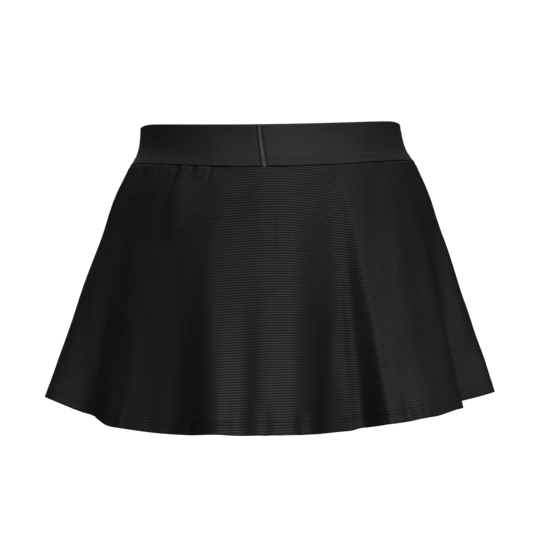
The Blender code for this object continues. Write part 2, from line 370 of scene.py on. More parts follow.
backCreases = creaseTable(
    (-34.5, 0.0, -35.0, 0.17, 11.0, 3.0),
    (-47.5, -0.01, -46.0, 0.10, 4.0, 0.6),
    (-39.4, -0.01, -39.4, 0.15, 3.4, -1.8),
    (-36.3, -0.01, -36.2, 0.14, 3.2, 1.0),
    (-31.4, -0.01, -32.8, 0.06, 2.0, -1.3),
    (-28.7, -0.01, -28.9, 0.08, 2.6, 0.8),
    (-24.0, -0.01, -24.5, 0.11, 1.6, -0.8),
    (-21.8, -0.01, -22.4, 0.09, 2.0, 0.4),
    (24.0, -0.01, 26.0, 0.09, 2.6, -0.4),
    (41.0, -0.01, 44.0, 0.10, 2.8, 0.5),
    (48.0, -0.01, 51.5, 0.12, 2.4, -0.6),
    (0.4, 0.03, 0.2, 0.27, 2.8, -0.9),
    (23.5, 0.20, 14.5, 1.0, 9.0, -3.5),
    (-6.5, 0.40, -6.6, 1.0, 8.0, -2.6),
    (7.0, 0.88, 7.6, 1.02, 3.0, -2.4),
    (9.6, 0.90, 10.0, 1.02, 2.4, 1.2),
    (-1.5, 0.86, -1.2, 1.02, 3.4, -1.8),
    (35.3, 0.88, 35.7, 1.02, 3.0, -3.0),
    (38.3, 0.90, 38.2, 1.02, 2.6, 1.2),
    (-20.0, 0.87, -20.4, 1.02, 3.4, -1.8),
    (-19.5, -0.01, -19.0, 0.05, 9.0, -1.5),
    (3.5, -0.01, 3.6, 0.04, 5.0, -1.3),
    (-55.3, 0.90, -55.0, 1.02, 2.0, -3.0),
    (-42.4, 0.88, -42.2, 1.02, 1.5, 2.2),
    (59.0, 0.90, 59.3, 1.02, 3.0, -0.9),
)
frontCreases = creaseTable(
    (112.0, -0.01, 115.0, 0.12, 2.8, -0.8),
    (118.0, -0.01, 120.0, 0.14, 3.0, 0.8),
    (139.0, -0.01, 141.0, 0.10, 2.6, -0.6),
    (166.0, -0.01, 167.0, 0.09, 2.6, 0.5),
    (190.0, -0.01, 189.0, 0.11, 2.6, -0.6),
    (214.0, -0.01, 212.0, 0.12, 2.8, 0.7),
    (231.0, -0.01, 229.0, 0.13, 2.6, -0.8),
    (246.0, -0.01, 243.5, 0.10, 2.8, 0.6),
    (126.0, 0.90, 126.3, 1.02, 2.8, -1.1),
    (157.0, 0.91, 157.2, 1.02, 2.4, -1.0),
    (187.5, 0.89, 187.8, 1.02, 3.0, -1.2),
    (216.0, 0.91, 216.1, 1.02, 2.6, -1.0),
    (247.0, 0.90, 246.8, 1.02, 3.0, -1.1),
)
skirtWander = (
    (61 * mm, 410 * mm, 0.30 * mm, 0.4),
    (37 * mm, -290 * mm, 0.20 * mm, 2.1),
    (23 * mm, 180 * mm, 0.10 * mm, 4.0),
    (140 * mm, 75 * mm, 0.18 * mm, 1.3),
)


def creaseHeight(creases, angle, share, radius):
    # how far the creases push a point out or in
    height = np.zeros_like(share)
    for crease in creases:
        along = (share - crease.topShare) / (crease.endShare - crease.topShare)
        centre = np.radians(crease.topAngle + (crease.endAngle - crease.topAngle) * along)
        across = (angle - centre) * radius
        if crease.topShare < 0:
            fade = smoothStep(1 - along) * smoothStep((along + 0.02) / 0.04)
        else:
            fade = smoothStep(along / 0.7) * smoothStep((1.9 - along) / 0.9)
        height = height + crease.height * np.exp(-((across / crease.width) ** 2)) * fade
    return height


def panelPlaces(folds):
    # column places, closer together on short banks and beside the side seams
    places = [0.0]
    for bank in range(len(folds) - 1):
        ends = skirtPoint(folds, np.array([bank, bank + 1.0]), np.array([1.0, 1.0]))
        width = np.linalg.norm(ends[1] - ends[0])
        count = max(6, math.ceil(width / knit["columnStep"]))
        places += [bank + (step + 1) / count for step in range(count)]
        if bank == 0:
            places[1:1] = [distance / width for distance in knit["seamColumns"]]
        if bank == len(folds) - 2:
            places[-1:-1] = [bank + 1 - distance / width for distance in knit["seamColumns"][::-1]]
    return np.array(sorted(places))


def panelCut(panel, places):
    # the flat cut under each column: the place across it and the height up it, in metres
    shares = np.linspace(0, 1, 101)
    arc = arcAcross(skirtPoint(panel["folds"], places[None, :], shares[:, None]))
    half = arc / arc[:, -1:] * 2 - 1
    firstTurn, lastTurn = np.radians(panel["turns"])
    firstBend, lastBend = panel["bends"]
    bend = np.where(half < 0, firstBend, lastBend)
    turn = np.where(half < 0, firstTurn, lastTurn) * half * (1 - bend + bend * half**2)
    radius = arc[0, -1] / (firstTurn + lastTurn) + skirt["length"] * shares[:, None]
    return shares, radius * np.sin(turn), radius * np.cos(turn)


def panelSurface(panel, place, share):
    # the outer face with its creases and its slow waves, and the direction it faces
    folds = panel["folds"]
    point, outward = outwardOf(lambda a, d: skirtPoint(folds, a, d), place, share)
    angle = foldAngle(folds, place, np.maximum(share, 0))
    radius = np.hypot(point[..., 0], point[..., 1])
    inside = smoothStep(share / 0.06)
    height = creaseHeight(panel["creases"], angle, share, radius)
    bulge = smoothStep(share / 0.002) * smoothStep((skirt["bulgeEnd"] - share) / skirt["bulgeFade"])
    height = height + skirt["bulge"] * bulge
    around = np.where(angle > math.pi / 2, math.pi - angle, angle)  # the waves meet at the side seams
    height = height + inside * wander(around * radius, share * skirt["length"], skirtWander)
    return point + outward * height[..., None] + [0, panel["side"] * seamGap / 2, 0], outward


def knitPanel(name, panel):
    folds = panel["folds"]
    places = panelPlaces(folds)
    shares, cutAcross, cutHeight = panelCut(panel, places)
    rowStep = knit["ribPitch"] / knit["rowsPerRib"]
    firstRow, lastRow = math.ceil(cutHeight.min() / rowStep), math.floor(cutHeight.max() / rowStep)
    ribHeights = np.arange(firstRow, lastRow + 1) * rowStep
    ribShares = np.stack(
        [np.interp(ribHeights, cutHeight[:, i], shares) for i in range(len(places))], axis=1
    )
    tiny = 0.25 * mm / skirt["length"]
    ribShares = np.where(ribShares < tiny, 0, np.where(ribShares > 1 - tiny, 1, ribShares))
    top = skirt["allowance"] / skirt["length"]
    fold = knit["hemFold"] / skirt["length"]
    layer = knit["hemLayer"]
    wall = skirt["wall"]
    # plain rows above and below the ribs: a share of the length and a depth under the outer face
    aboveRows = [(-top, 0.15 * mm), (-top * 0.6, 0), (-top * 0.2, 0), (0, 0)]
    lip = 1 + knit["hemLip"] / skirt["length"]
    hemRows = [(1, 0), (lip, 0.45 * mm), (lip, wall + 0.3 * mm)]
    hemRows += [(1, wall + layer), (1 - fold / 3, wall + layer), (1 - fold * 2 / 3, wall + layer)]
    hemRows += [(1 - fold * 0.98, wall + layer), (1 - fold, wall + layer * 0.7)]
    hemRows += [(1 - fold * 1.02, wall)]
    hemRows += [(share, wall) for share in np.linspace(1 - fold * 1.1, 0.02, knit["innerRows"])]
    hemRows += [(-top * 0.4, wall), (-top, wall - 0.15 * mm)]
    aboveShare, aboveDepth = rowTable(aboveRows, len(places))
    hemShare, hemDepth = rowTable(hemRows, len(places))
    share = np.concatenate([aboveShare, ribShares, hemShare])
    depth = np.concatenate([aboveDepth, np.zeros((len(ribHeights), 1)), hemDepth])
    point, outward = panelSurface(panel, np.tile(places, (len(share), 1)), np.minimum(share, 1.0))
    across, height = (
        np.stack([np.interp(share[:, i], shares, cut[:, i]) for i in range(len(places))], axis=1)
        for cut in (cutAcross, cutHeight)
    )
    ribs = 2 * np.abs(np.sin(math.pi * height / knit["ribPitch"])) ** knit["ribRound"] - 1
    fade = smoothStep(share * skirt["length"] / knit["edgeFade"])
    fade = fade * smoothStep((1 - share) * skirt["length"] / knit["edgeFade"])
    hemStart = len(aboveRows) + len(ribHeights)
    rib = slice(len(aboveRows), hemStart)
    ribRows = np.zeros((len(share), 1))
    ribRows[rib] = 1
    pinch = knit["seamPinch"] * np.exp(-((arcFromEnds(point) / knit["seamPinchWidth"]) ** 2))
    fade = fade * (1 - knit["hemEase"] * np.clip(share, 0, 1))
    lift = ribs * fade * ribRows * knit["ribDepth"] / 2 - pinch * (depth == 0) - depth
    below = np.maximum(share - 1, 0) * skirt["length"]
    point = point + outward * lift[..., None] - below[..., None] * [0, 0, 1]
    numbers = np.arange(share.size).reshape(share.shape)
    # rib rows that have run past an edge of the cloth end on it
    numbers[rib] = np.where(share[rib] <= 0, numbers[len(aboveRows) - 1], numbers[rib])
    numbers[rib] = np.where(share[rib] >= 1, numbers[hemStart], numbers[rib])
    faces = sheetFaces(numbers, False) + endWalls(share, numbers, hemStart + 2)
    piece = meshPiece(name, point, faces, np.stack([across, height], axis=-1))
    dropLooseVertices(piece)
    return piece


def dropLooseVertices(piece):
    bpy.ops.object.select_all(action="DESELECT")
    bpy.context.view_layer.objects.active = piece
    piece.select_set(True)
    bpy.ops.object.mode_set(mode="EDIT")
    bpy.ops.mesh.select_all(action="SELECT")
    bpy.ops.mesh.delete_loose(use_verts=True, use_edges=True, use_faces=False)
    bpy.ops.object.mode_set(mode="OBJECT")
    piece.select_set(False)


# turns: how many degrees the cut turns from the middle to each side seam, and bends: how much
# faster it turns towards the seam
backPanel = {
    "folds": skirt["backFolds"],
    "creases": backCreases,
    "side": -1,
    "turns": (38, 41.5),
    "bends": (0.18, 0.0),
}
frontPanel = {
    "folds": skirt["frontFolds"],
    "creases": frontCreases,
    "side": 1,
    "turns": (34, 34),
    "bends": (0.2, 0.2),
}
skirtBack = knitPanel("skirtBack", backPanel)
skirtFront = knitPanel("skirtFront", frontPanel)
print("skirt knitted:", len(skirtBack.data.polygons), "and", len(skirtFront.data.polygons), "faces")


# the waistband's shell, with rounded edges and a shallow gutter on each side of the strip
strip = {
    "width": 3.7 * mm,
    "swell": 0.25,  # it is that much wider at its lower end
    "height": 1.3 * mm,
    "topAngle": -4.9,
    "endAngle": -3.15,
    "bend": 0.7,  # the strip leans more the lower down it is
    "lap": 2.0 * mm,
    "stations": 90,
    "sides": 12,
    "gutterWidth": 1.0 * mm,
    "gutterDepth": 1.0 * mm,
    "rightGutter": 0.45,  # its depth on the right, as a share of that on the left
    "gutterPlace": 0.62,  # from the strip's middle, in strip widths
    "clear": 0.022,  # from its middle to the nearest stitches, in radians
    "threadPitch": 1.3 * mm,
    "threadSlant": 1.4,
    "threadHeight": 0.09 * mm,
}
bandWander = (
    (97 * mm, 900 * mm, 0.25 * mm, 0.7),
    (53 * mm, -300 * mm, 0.12 * mm, 2.9),
)
bandStitching = {
    "rows": (8.2 * mm, 1.9 * mm),  # above the lower edge
    "pitch": 2.9 * mm,
    "dimple": 0.10 * mm,
    "dimpleWidth": 0.8 * mm,
}


def stripAngle(share):
    lower = np.minimum(share, 1)
    lean = lower * (1 - strip["bend"]) + lower**2 * strip["bend"]
    return np.radians(strip["topAngle"] + (strip["endAngle"] - strip["topAngle"]) * lean)


def bandSurface(angle, share):
    point, outward = outwardOf(bandPoint, angle, share)
    arc = angle * band["rings"][-1].halfWidth
    wave = wander(arc, share * band["height"], bandWander) * smoothStep(share / 0.3)
    fromStrip = np.abs(angle - stripAngle(share)) * band["rings"][0].halfWidth
    fromGutter = (fromStrip - strip["width"] * strip["gutterPlace"]) / strip["gutterWidth"]
    gutter = np.exp(-(fromGutter**2)) * np.where(angle < stripAngle(share), 1.0, strip["rightGutter"])
    above = (1 - share) * band["height"]
    width = bandStitching["dimpleWidth"]
    furrow = sum(np.exp(-(((above - row) / width) ** 2)) for row in bandStitching["rows"])
    height = wave - gutter * strip["gutterDepth"] - furrow * bandStitching["dimple"]
    return point + outward * height[..., None], outward


def waistbandShell():
    angles = np.linspace(-math.pi, math.pi, band["columns"] + 1)[:-1]
    extra = np.radians(np.arange(*band["stripColumns"]))
    angles = np.unique(np.concatenate([angles, extra]).round(6))
    wall = band["wall"]
    edge = band["edgeRound"] / band["height"]
    rows = [(edge * 0.35, 0.22 * mm), (edge, 0)]
    rows += [(share, 0) for share in (*np.linspace(0.06, 0.5, 9), *np.linspace(0.55, 1 - edge, 26))]
    rows += [(1 - edge * 0.3, 0.1 * mm), (1, 0.4 * mm), (1, wall - 0.5 * mm), (1 - edge, wall)]
    rows += [(share, wall) for share in np.linspace(0.9, 0.1, 12)]
    rows += [(edge, wall), (0, wall - 0.5 * mm), (0, 0.6 * mm)]
    share, depth = rowTable(rows, len(angles))
    point, outward = bandSurface(np.tile(angles, (len(rows), 1)), share)
    point = point - outward * depth[..., None]
    numbers = np.arange(share.size).reshape(share.shape)
    uv = np.broadcast_arrays(angles * band["cutRadius"], (1 - share) * band["height"])
    return meshPiece("waistbandShell", point, sheetFaces(numbers, True), np.stack(uv, axis=-1))


def seamStrip():
    # half-round, rounded off at its lower end, with a slanting thread wound over it
    endShare = 1 + strip["lap"] / band["height"]
    roundShare = endShare - strip["width"] / 2 / band["height"]
    shares = np.concatenate([np.linspace(0, roundShare, strip["stations"]), np.zeros(6)])
    narrow = np.ones_like(shares)
    turns = np.linspace(0, math.pi / 2, 8)[1:-1]
    shares[-6:] = roundShare + (endShare - roundShare) * np.sin(turns)
    narrow[-6:] = np.cos(turns)
    turn = np.linspace(0, math.pi, strip["sides"] + 1)[None, :]
    lateral = strip["width"] / 2 * narrow[:, None] * np.cos(turn)
    swell = 1 + strip["swell"] * shares[:, None]
    down = shares[:, None] * band["height"]
    thread = np.sin(2 * math.pi * (down + lateral * strip["threadSlant"]) / strip["threadPitch"])
    thread = thread * strip["threadHeight"]
    proud = seamGap + (strip["height"] * np.sqrt(narrow[:, None]) + thread) * np.sin(turn)
    angle = stripAngle(shares[:, None]) + lateral * swell / band["rings"][-1].halfWidth
    point, outward = outwardOf(bandPoint, angle, np.broadcast_to(shares[:, None], angle.shape))
    point = point + outward * proud[..., None]
    numbers = np.arange(angle.size).reshape(angle.shape).tolist()
    faces = []
    for upper, lower in zip(numbers, numbers[1:]):
        for side in range(len(upper)):
            after = (side + 1) % len(upper)
            faces.append([upper[side], upper[after], lower[after], lower[side]])
    faces += [numbers[0][::-1], numbers[-1]]
    return meshPiece("seamStrip", point, faces, np.stack(np.broadcast_arrays(lateral, down), axis=-1))


waistbandPiece = waistbandShell()
stripPiece = seamStrip()
print("waistband and its seam strip made")


# the inner shorts: sections of the wearer's right leg, the left one mirrored
legRow = namedtuple("legRow", "height centre halfWidth halfDepth")
shorts = {
    "wall": 1.0 * mm,
    "columns": 130,
    "rowsPerSection": 7,
    "hemFold": 14 * mm,
    "hemLayer": 0.8 * mm,
    "seamPinch": 0.5 * mm,
    "seamPinchWidth": 1.6 * mm,
    "stitchRows": (12.5 * mm, 9.5 * mm),  # above the hem
    "innerRows": 40,
    "rows": (
        legRow(-0.080, 0.0000, 0.1490, 0.1070),
        legRow(-0.120, 0.0000, 0.1585, 0.1115),
        legRow(-0.165, 0.0000, 0.1635, 0.1130),
        legRow(-0.190, 0.0300, 0.1340, 0.1100),
        legRow(-0.206, 0.0560, 0.1080, 0.1045),
        legRow(-0.214, 0.0695, 0.0940, 0.1005),
        legRow(-0.220, 0.0785, 0.0845, 0.0965),
        legRow(-0.225, 0.0825, 0.0824, 0.0940),
        legRow(-0.243, 0.0845, 0.0800, 0.0900),
        legRow(-0.262, 0.0855, 0.0785, 0.0875),
    ),
}
lastSection = shorts["rows"][-2].height - shorts["rows"][-1].height


def legPoint(side, across, row):
    # rows below 0 are inside the waistband, 0 is its lower edge, and 1 on count the sections
    across, row = np.broadcast_arrays(np.asarray(across, float), np.asarray(row, float))
    apart = np.array([side * seamGap / 2, 0, 0])
    inset = band["wall"] + skirt["wall"] + 3 * seamGap
    share = 1 + np.minimum(row, 0) * skirt["allowance"] / band["height"]
    bandSide, outward = outwardOf(bandPoint, side * math.pi * across, share)
    top = bandSide - inset * outward + apart
    sections = shorts["rows"]
    bank = np.clip(np.floor(row - 1).astype(int), 0, len(sections) - 2)
    part = np.clip(row - 1 - bank, 0, 1)
    first = legSection(side, across, bank)
    second = legSection(side, across, bank + 1)
    low = first + (second - first) * part[..., None] + apart
    start = legSection(side, across, np.zeros_like(bank)) + apart
    upper = top + (start - top) * np.clip(row, 0, 1)[..., None]
    return np.where((row < 1)[..., None], upper, low)


def legSection(side, across, number):
    height, centre, halfWidth, halfDepth = (
        tableColumn(shorts["rows"], field)[number] for field in legRow._fields
    )
    # a section that crosses the middle of the body stops there, and one that doesn't is a full ring
    crossing = -np.arcsin(np.minimum(centre / halfWidth, 1))
    start = np.where(halfWidth > centre, crossing, -math.pi / 2 + seamGap / (2 * halfDepth))
    angle = start + (math.pi - 2 * start) * across
    x, y = ellipsePoint(angle, halfWidth, halfDepth)
    return np.stack([side * (centre + x), y, height], axis=-1)


def shortsLeg(name, side):
    across = np.linspace(0, 1, shorts["columns"] + 1)
    across = np.concatenate([across[:1], [0.0025, 0.005], across[1:-1], [0.995, 0.9975], across[-1:]])
    across = across[::side]
    count = len(shorts["rows"])
    wall, layer = shorts["wall"], shorts["hemLayer"]
    fold = shorts["hemFold"] / lastSection
    outerRows = [-1, -0.5] + list(np.linspace(0, count, shorts["rowsPerSection"] * count + 1))
    rows = [(row, 0) for row in outerRows]
    rows += [(count, 0.45 * mm), (count, wall + layer - 0.4 * mm), (count - 0.01, wall + layer)]
    rows += [(count - fold / 2, wall + layer), (count - fold * 0.98, wall + layer)]
    rows += [(count - fold, wall)]
    rows += [(row, wall) for row in np.linspace(count - fold * 1.15, 0, shorts["innerRows"])]
    rows += [(-0.5, wall), (-1, wall)]
    row, depth = rowTable(rows, len(across))
    place = np.tile(across, (len(rows), 1))
    point, outward = outwardOf(lambda a, d: legPoint(side, a, d), place, row)
    outward = outward * side
    arc = arcAcross(point)
    pinch = shorts["seamPinch"] * np.exp(-((arcFromEnds(point) / shorts["seamPinchWidth"]) ** 2))
    pinch = pinch * (depth == 0)
    pinch = pinch * (1 - np.abs(outward[..., 0]))  # none where the legs face each other
    point = point - outward * (depth + pinch)[..., None]
    # the walls stop at the middle of the body
    point[..., 0] = side * np.maximum(side * point[..., 0], seamGap / 2)
    numbers = np.arange(row.size).reshape(row.shape)
    faces = sheetFaces(numbers, False) + endWalls(row, numbers, len(outerRows))
    return meshPiece(name, point, faces, np.stack([arc, -point[..., 2]], axis=-1))


rightShorts = shortsLeg("shortsRight", 1)
leftShorts = shortsLeg("shortsLeft", -1)
print("shorts made")


# stitching: one stitch is modelled, and rows of it are laid on the cloth
stitch = {
    "length": 1.6 * mm,
    "thickness": 0.55 * mm,
    "sink": 0.02 * mm,
    "holeShadeLength": 0.55 * mm,  # a flat end piece on each end, coloured as the painted shade of the needle hole
    "holeShadeWidth": 2.8,  # how much wider that end piece is than the thread's end
    "dip": 0.22 * mm,  # how far the ends dip into the cloth
}


def modelStitch():
    bpy.ops.object.select_all(action="DESELECT")
    bpy.ops.mesh.primitive_cylinder_add(
        vertices=6, radius=stitch["thickness"] / 2, depth=stitch["length"] * 0.6, end_fill_type="NGON"
    )
    sample = bpy.context.object
    bpy.ops.object.mode_set(mode="EDIT")
    bpy.ops.mesh.select_all(action="DESELECT")
    bpy.ops.mesh.select_mode(type="FACE")
    bpy.ops.object.mode_set(mode="OBJECT")
    for face in sample.data.polygons:
        face.select = abs(face.normal.z) > 0.9
    bpy.ops.object.mode_set(mode="EDIT")
    bpy.ops.mesh.extrude_region_move(TRANSFORM_OT_translate={"value": (0, 0, 0)})
    bpy.ops.transform.resize(value=(0.55, 0.55, 1.6), center_override=(0, 0, 0))
    # a flat, wide end piece on each end, which the thread finish colours as the needle hole's painted
    # shade
    bpy.ops.mesh.extrude_region_move(TRANSFORM_OT_translate={"value": (0, 0, 0)})
    longer = 1 + stitch["holeShadeLength"] / (stitch["length"] * 0.48)
    bpy.ops.transform.resize(value=(0.5, stitch["holeShadeWidth"], longer), center_override=(0, 0, 0))
    bpy.ops.object.mode_set(mode="OBJECT")
    points = np.array([tuple(vertex.co) for vertex in sample.data.vertices])
    faces = [list(face.vertices) for face in sample.data.polygons]
    bpy.data.objects.remove(sample)
    return points[:, [2, 0, 1]], faces


stitchPoints, stitchFaces = modelStitch()


def pathAt(place, arc, values):
    return np.stack([np.interp(place, arc, values[:, k]) for k in range(3)], axis=1)


def layStitches(name, paths, stitching):
    # paths are (points, outward): stitches lie in a row along each, on the cloth's face
    broad = stitching.get("broad", 1)
    allPoints, allFaces, allEnds = [], [], []
    for points, outward in paths:
        arc = arcAcross(points[None])[0]
        count = max(2, int(arc[-1] / stitching["pitch"]))
        middle = (np.arange(count) + 0.5) * arc[-1] / count
        half = stitch["length"] / 2
        along = pathAt(middle + half, arc, points) - pathAt(middle - half, arc, points)
        along /= np.linalg.norm(along, axis=1, keepdims=True)
        across = np.cross(pathAt(middle, arc, outward), along)
        across /= np.linalg.norm(across, axis=1, keepdims=True)
        up = np.cross(along, across)
        centre = pathAt(middle, arc, points) + up * (stitch["thickness"] / 2 - stitch["sink"])
        bend = -np.minimum((stitchPoints[:, 0] / half) ** 2, 1) * stitch["dip"]
        for index in range(count):
            first = len(allPoints)
            placed = (
                centre[index]
                + stitchPoints[:, :1] * along[index]
                + stitchPoints[:, 1:2] * broad * across[index]
                + (stitchPoints[:, 2:3] + bend[:, None]) * up[index]
            )
            allPoints.extend(placed.tolist())
            # each point's place towards the stitch's ends, which the thread finish reads for the
            # painted hole shade
            allEnds.extend((np.abs(stitchPoints[:, :2]) / half).tolist())
            allFaces.extend([[first + corner for corner in face] for face in stitchFaces])
    return meshPiece(name, allPoints, allFaces, allEnds, "along")


def bandPaths(above):
    # one row of stitches, to the left of the strip and to its right
    angles = np.linspace(-math.pi, math.pi, 900)
    share = np.full_like(angles, 1 - above / band["height"])
    point, outward = bandSurface(angles, share)
    middle = float(stripAngle(1 - above / band["height"]))
    left = angles < middle - strip["clear"]
    right = angles > middle + strip["clear"]
    return [(point[left], outward[left]), (point[right], outward[right])]


bandRows = [path for above in bandStitching["rows"] for path in bandPaths(above)]
bandStitches = layStitches("bandStitches", bandRows, bandStitching)

hemStitching = {
    "above": 12.2 * mm,
    "apart": 3.2 * mm,
    "pitch": 2.5 * mm,
    "lift": 0.35,  # out from the middle of a rib's depth, as a share of it
}


def hemPaths(panel):
    # two rows right across the panel, on the ribs' tops
    places = np.linspace(0.02, len(panel["folds"]) - 1.02, 900)
    paths = []
    for above in (hemStitching["above"], hemStitching["above"] - hemStitching["apart"]):
        share = np.full_like(places, 1 - above / skirt["length"])
        point, outward = panelSurface(panel, places, share)
        paths.append((point + outward * knit["ribDepth"] * hemStitching["lift"], outward))
    return paths


hemStitches = layStitches("hemStitches", hemPaths(backPanel) + hemPaths(frontPanel), hemStitching)

# close and broad enough to shut the seams
sideStitching = {"depth": 1.3 * mm, "pitch": 1.3 * mm, "broad": 2}


def sidePaths(panel):
    # the side seams' thread, drawn tight between the two panels
    shares = np.linspace(0.01, 0.995, 300)
    paths = []
    for place in (0.0, len(panel["folds"]) - 1.0):
        places = np.full_like(shares, place)
        point, outward = outwardOf(lambda a, d: skirtPoint(panel["folds"], a, d), places, shares)
        paths.append((point - outward * sideStitching["depth"], outward))
    return paths


sideStitches = layStitches("sideSeamStitches", sidePaths(backPanel), sideStitching)


def legPaths(side):
    across = np.linspace(0.004, 0.996, 400)[::side]
    paths = []
    for above in shorts["stitchRows"]:
        row = np.full_like(across, len(shorts["rows"]) - above / lastSection)
        point, outward = outwardOf(lambda a, d: legPoint(side, a, d), across, row)
        paths.append((point, outward * side))
    return paths


shortsStitches = layStitches("shortsStitches", legPaths(1) + legPaths(-1), hemStitching)


def risePath():
    # the thread between the two legs, from the back of the waist under the crotch to the front
    rows = np.linspace(0.05, 8, 300)
    back, front = legPoint(1, 0.0, rows), legPoint(1, 1.0, rows)
    points = np.concatenate([back, front[::-1]]) * [0, 1, 1]
    outward = np.cross(np.gradient(points, axis=0), [1, 0, 0])
    outward /= np.maximum(np.linalg.norm(outward, axis=1, keepdims=True), 1e-9)
    return points - outward * sideStitching["depth"] / 2, outward


riseStitches = layStitches("riseSeamStitches", [risePath()], sideStitching)
print("stitches laid")


# finishes

softLight = {"data_type": "RGBA", "blend_type": "SOFT_LIGHT"}


def linearColour(code):
    # an sRGB hex value as the linear colour that a shader takes
    parts = [int(code[index : index + 2], 16) / 255 for index in (1, 3, 5)]
    linear = [part / 12.92 if part <= 0.04045 else ((part + 0.055) / 1.055) ** 2.4 for part in parts]
    return linear + [1]


def addNode(tree, kind, settings=None, links=None):
    node = tree.nodes.new("ShaderNode" + kind)
    for name, value in (settings or {}).items():
        if isinstance(name, str) and hasattr(node, name):
            setattr(node, name, value)
        else:
            node.inputs[name].default_value = value
    linkInto(tree, node, links or {})
    return node


def linkInto(tree, node, links):
    for name, socket in links.items():
        tree.links.new(socket, node.inputs[name])


def newFinish(name, shader):
    material = bpy.data.materials.new(name)
    material.use_nodes = True
    principled = material.node_tree.nodes["Principled BSDF"]
    for key, value in shader.items():
        principled.inputs[key].default_value = value
    return material, material.node_tree, principled


def ribKnitFinish():
    # dull black polyester rib, with painted shade darkening the furrows between the ribs' tops
    material, tree, principled = newFinish("black polyester rib knit", {"Specular IOR Level": 0.36})
    cut = addNode(tree, "UVMap", {"uv_map": "cut"}).outputs["UV"]
    height = addNode(tree, "SeparateXYZ", None, {"Vector": cut}).outputs["Y"]
    ribs = addNode(tree, "Math", {"operation": "MULTIPLY", 1: 1 / knit["ribPitch"]}, {0: height})
    inRib = addNode(tree, "Math", {"operation": "PINGPONG", 1: 0.5}, {0: ribs.outputs[0]})
    ramp = addNode(tree, "ValToRGB", None, {"Fac": inRib.outputs[0]})
    ramp.color_ramp.elements[0].position = 0.05
    ramp.color_ramp.elements[1].position = 0.36
    # the loops of the knit are about 1 mm wide, and drawn a little coarser so that they show
    loops = addNode(
        tree, "TexVoronoi", {"Scale": 1 / (1.5 * mm), "Randomness": 0.55}, {"Vector": cut}
    )
    patches = addNode(tree, "TexNoise", {"Scale": 1 / (22 * mm), "Detail": 2.0}, {"Vector": cut})
    speckle = addNode(tree, "TexNoise", {"Scale": 1 / (1.9 * mm), "Detail": 1.0}, {"Vector": cut})
    # the painted furrow shade fades where the cloth is seen aslant, so the ribs run together there
    slant = addNode(tree, "LayerWeight", {"Blend": 0.5})
    furrowShadeContrast = addNode(
        tree,
        "MapRange",
        {"From Min": 0.06, "From Max": 0.34, "To Min": 1.0, "To Max": 0.15},
        {"Value": slant.outputs["Facing"]},
    )
    tones = {0: furrowShadeContrast.outputs["Result"], 3: ramp.outputs["Color"]}
    furrowShadeMix = addNode(tree, "Mix", {"data_type": "FLOAT", 2: 0.5}, tones)
    # painted shade: near black in each furrow, the knit's own tone on each rib's top
    paintedFurrowShade = addNode(
        tree,
        "Mix",
        {"data_type": "RGBA", 6: linearColour("#040404"), 7: linearColour("#242425")},
        {0: furrowShadeMix.outputs[0]},
    )
    # random fine speckle: the yarn's own melange, and in part painted glints on the knit's loops
    melangeAndGlints = addNode(
        tree, "Mix", {**softLight, 0: 0.55}, {6: paintedFurrowShade.outputs[2], 7: speckle.outputs["Color"]}
    )
    worn = addNode(
        tree, "Mix", {**softLight, 0: 0.25}, {6: melangeAndGlints.outputs[2], 7: patches.outputs["Color"]}
    )
    rough = addNode(
        tree, "MapRange", {"To Min": 0.76, "To Max": 0.58}, {"Value": ramp.outputs["Color"]}
    )
    bump = addNode(
        tree, "Bump", {"Strength": 0.35, "Distance": 0.25 * mm}, {"Height": loops.outputs["Distance"]}
    )
    linkInto(tree, principled, {"Base Color": worn.outputs[2], "Normal": bump.outputs["Normal"]})
    linkInto(tree, principled, {"Roughness": rough.outputs["Result"]})
    return material


def elasticFinish():
    # covered woven elastic: flat, with a faint weave, a little lighter and warmer than the knit
    material, tree, principled = newFinish(
        "black woven elastic", {"Roughness": 0.66, "Specular IOR Level": 0.40}
    )
    cut = addNode(tree, "UVMap", {"uv_map": "cut"}).outputs["UV"]
    threadSize = {"Scale": (1 / (0.9 * mm), 1 / (0.6 * mm), 1)}
    scaled = addNode(tree, "Mapping", threadSize, {"Vector": cut}).outputs["Vector"]
    weave = addNode(tree, "TexChecker", {"Scale": 1.0}, {"Vector": scaled})
    threads = addNode(tree, "TexNoise", {"Scale": 1.0, "Detail": 2.0}, {"Vector": scaled})
    patches = addNode(tree, "TexNoise", {"Scale": 1 / (40 * mm), "Detail": 2.0}, {"Vector": cut})
    base = addNode(
        tree,
        "Mix",
        {"data_type": "RGBA", 6: linearColour("#1d191b"), 7: linearColour("#241e21")},
        {0: patches.outputs["Fac"]},
    )
    fine = addNode(
        tree, "Mix", {**softLight, 0: 0.3}, {6: base.outputs[2], 7: threads.outputs["Color"]}
    )
    bump = addNode(
        tree, "Bump", {"Strength": 0.12, "Distance": 0.1 * mm}, {"Height": weave.outputs["Fac"]}
    )
    linkInto(tree, principled, {"Base Color": fine.outputs[2], "Normal": bump.outputs["Normal"]})
    return material


def jerseyFinish():
    # plain black polyester and elastane jersey, fine wales running down the leg
    material, tree, principled = newFinish(
        "black jersey", {"Roughness": 0.7, "Specular IOR Level": 0.35}
    )
    cut = addNode(tree, "UVMap", {"uv_map": "cut"}).outputs["UV"]
    wales = addNode(
        tree,
        "TexWave",
        {"Scale": 1 / (1.2 * mm) / 6.2832, "Distortion": 0.6, "Detail": 1.0, "bands_direction": "X"},
        {"Vector": cut},
    )
    patches = addNode(tree, "TexNoise", {"Scale": 1 / (3 * mm), "Detail": 2.0}, {"Vector": cut})
    base = addNode(
        tree,
        "Mix",
        {"data_type": "RGBA", 6: linearColour("#141415"), 7: linearColour("#1a1a1c")},
        {0: patches.outputs["Fac"]},
    )
    bump = addNode(
        tree, "Bump", {"Strength": 0.3, "Distance": 0.15 * mm}, {"Height": wales.outputs["Fac"]}
    )
    linkInto(tree, principled, {"Base Color": base.outputs[2], "Normal": bump.outputs["Normal"]})
    return material


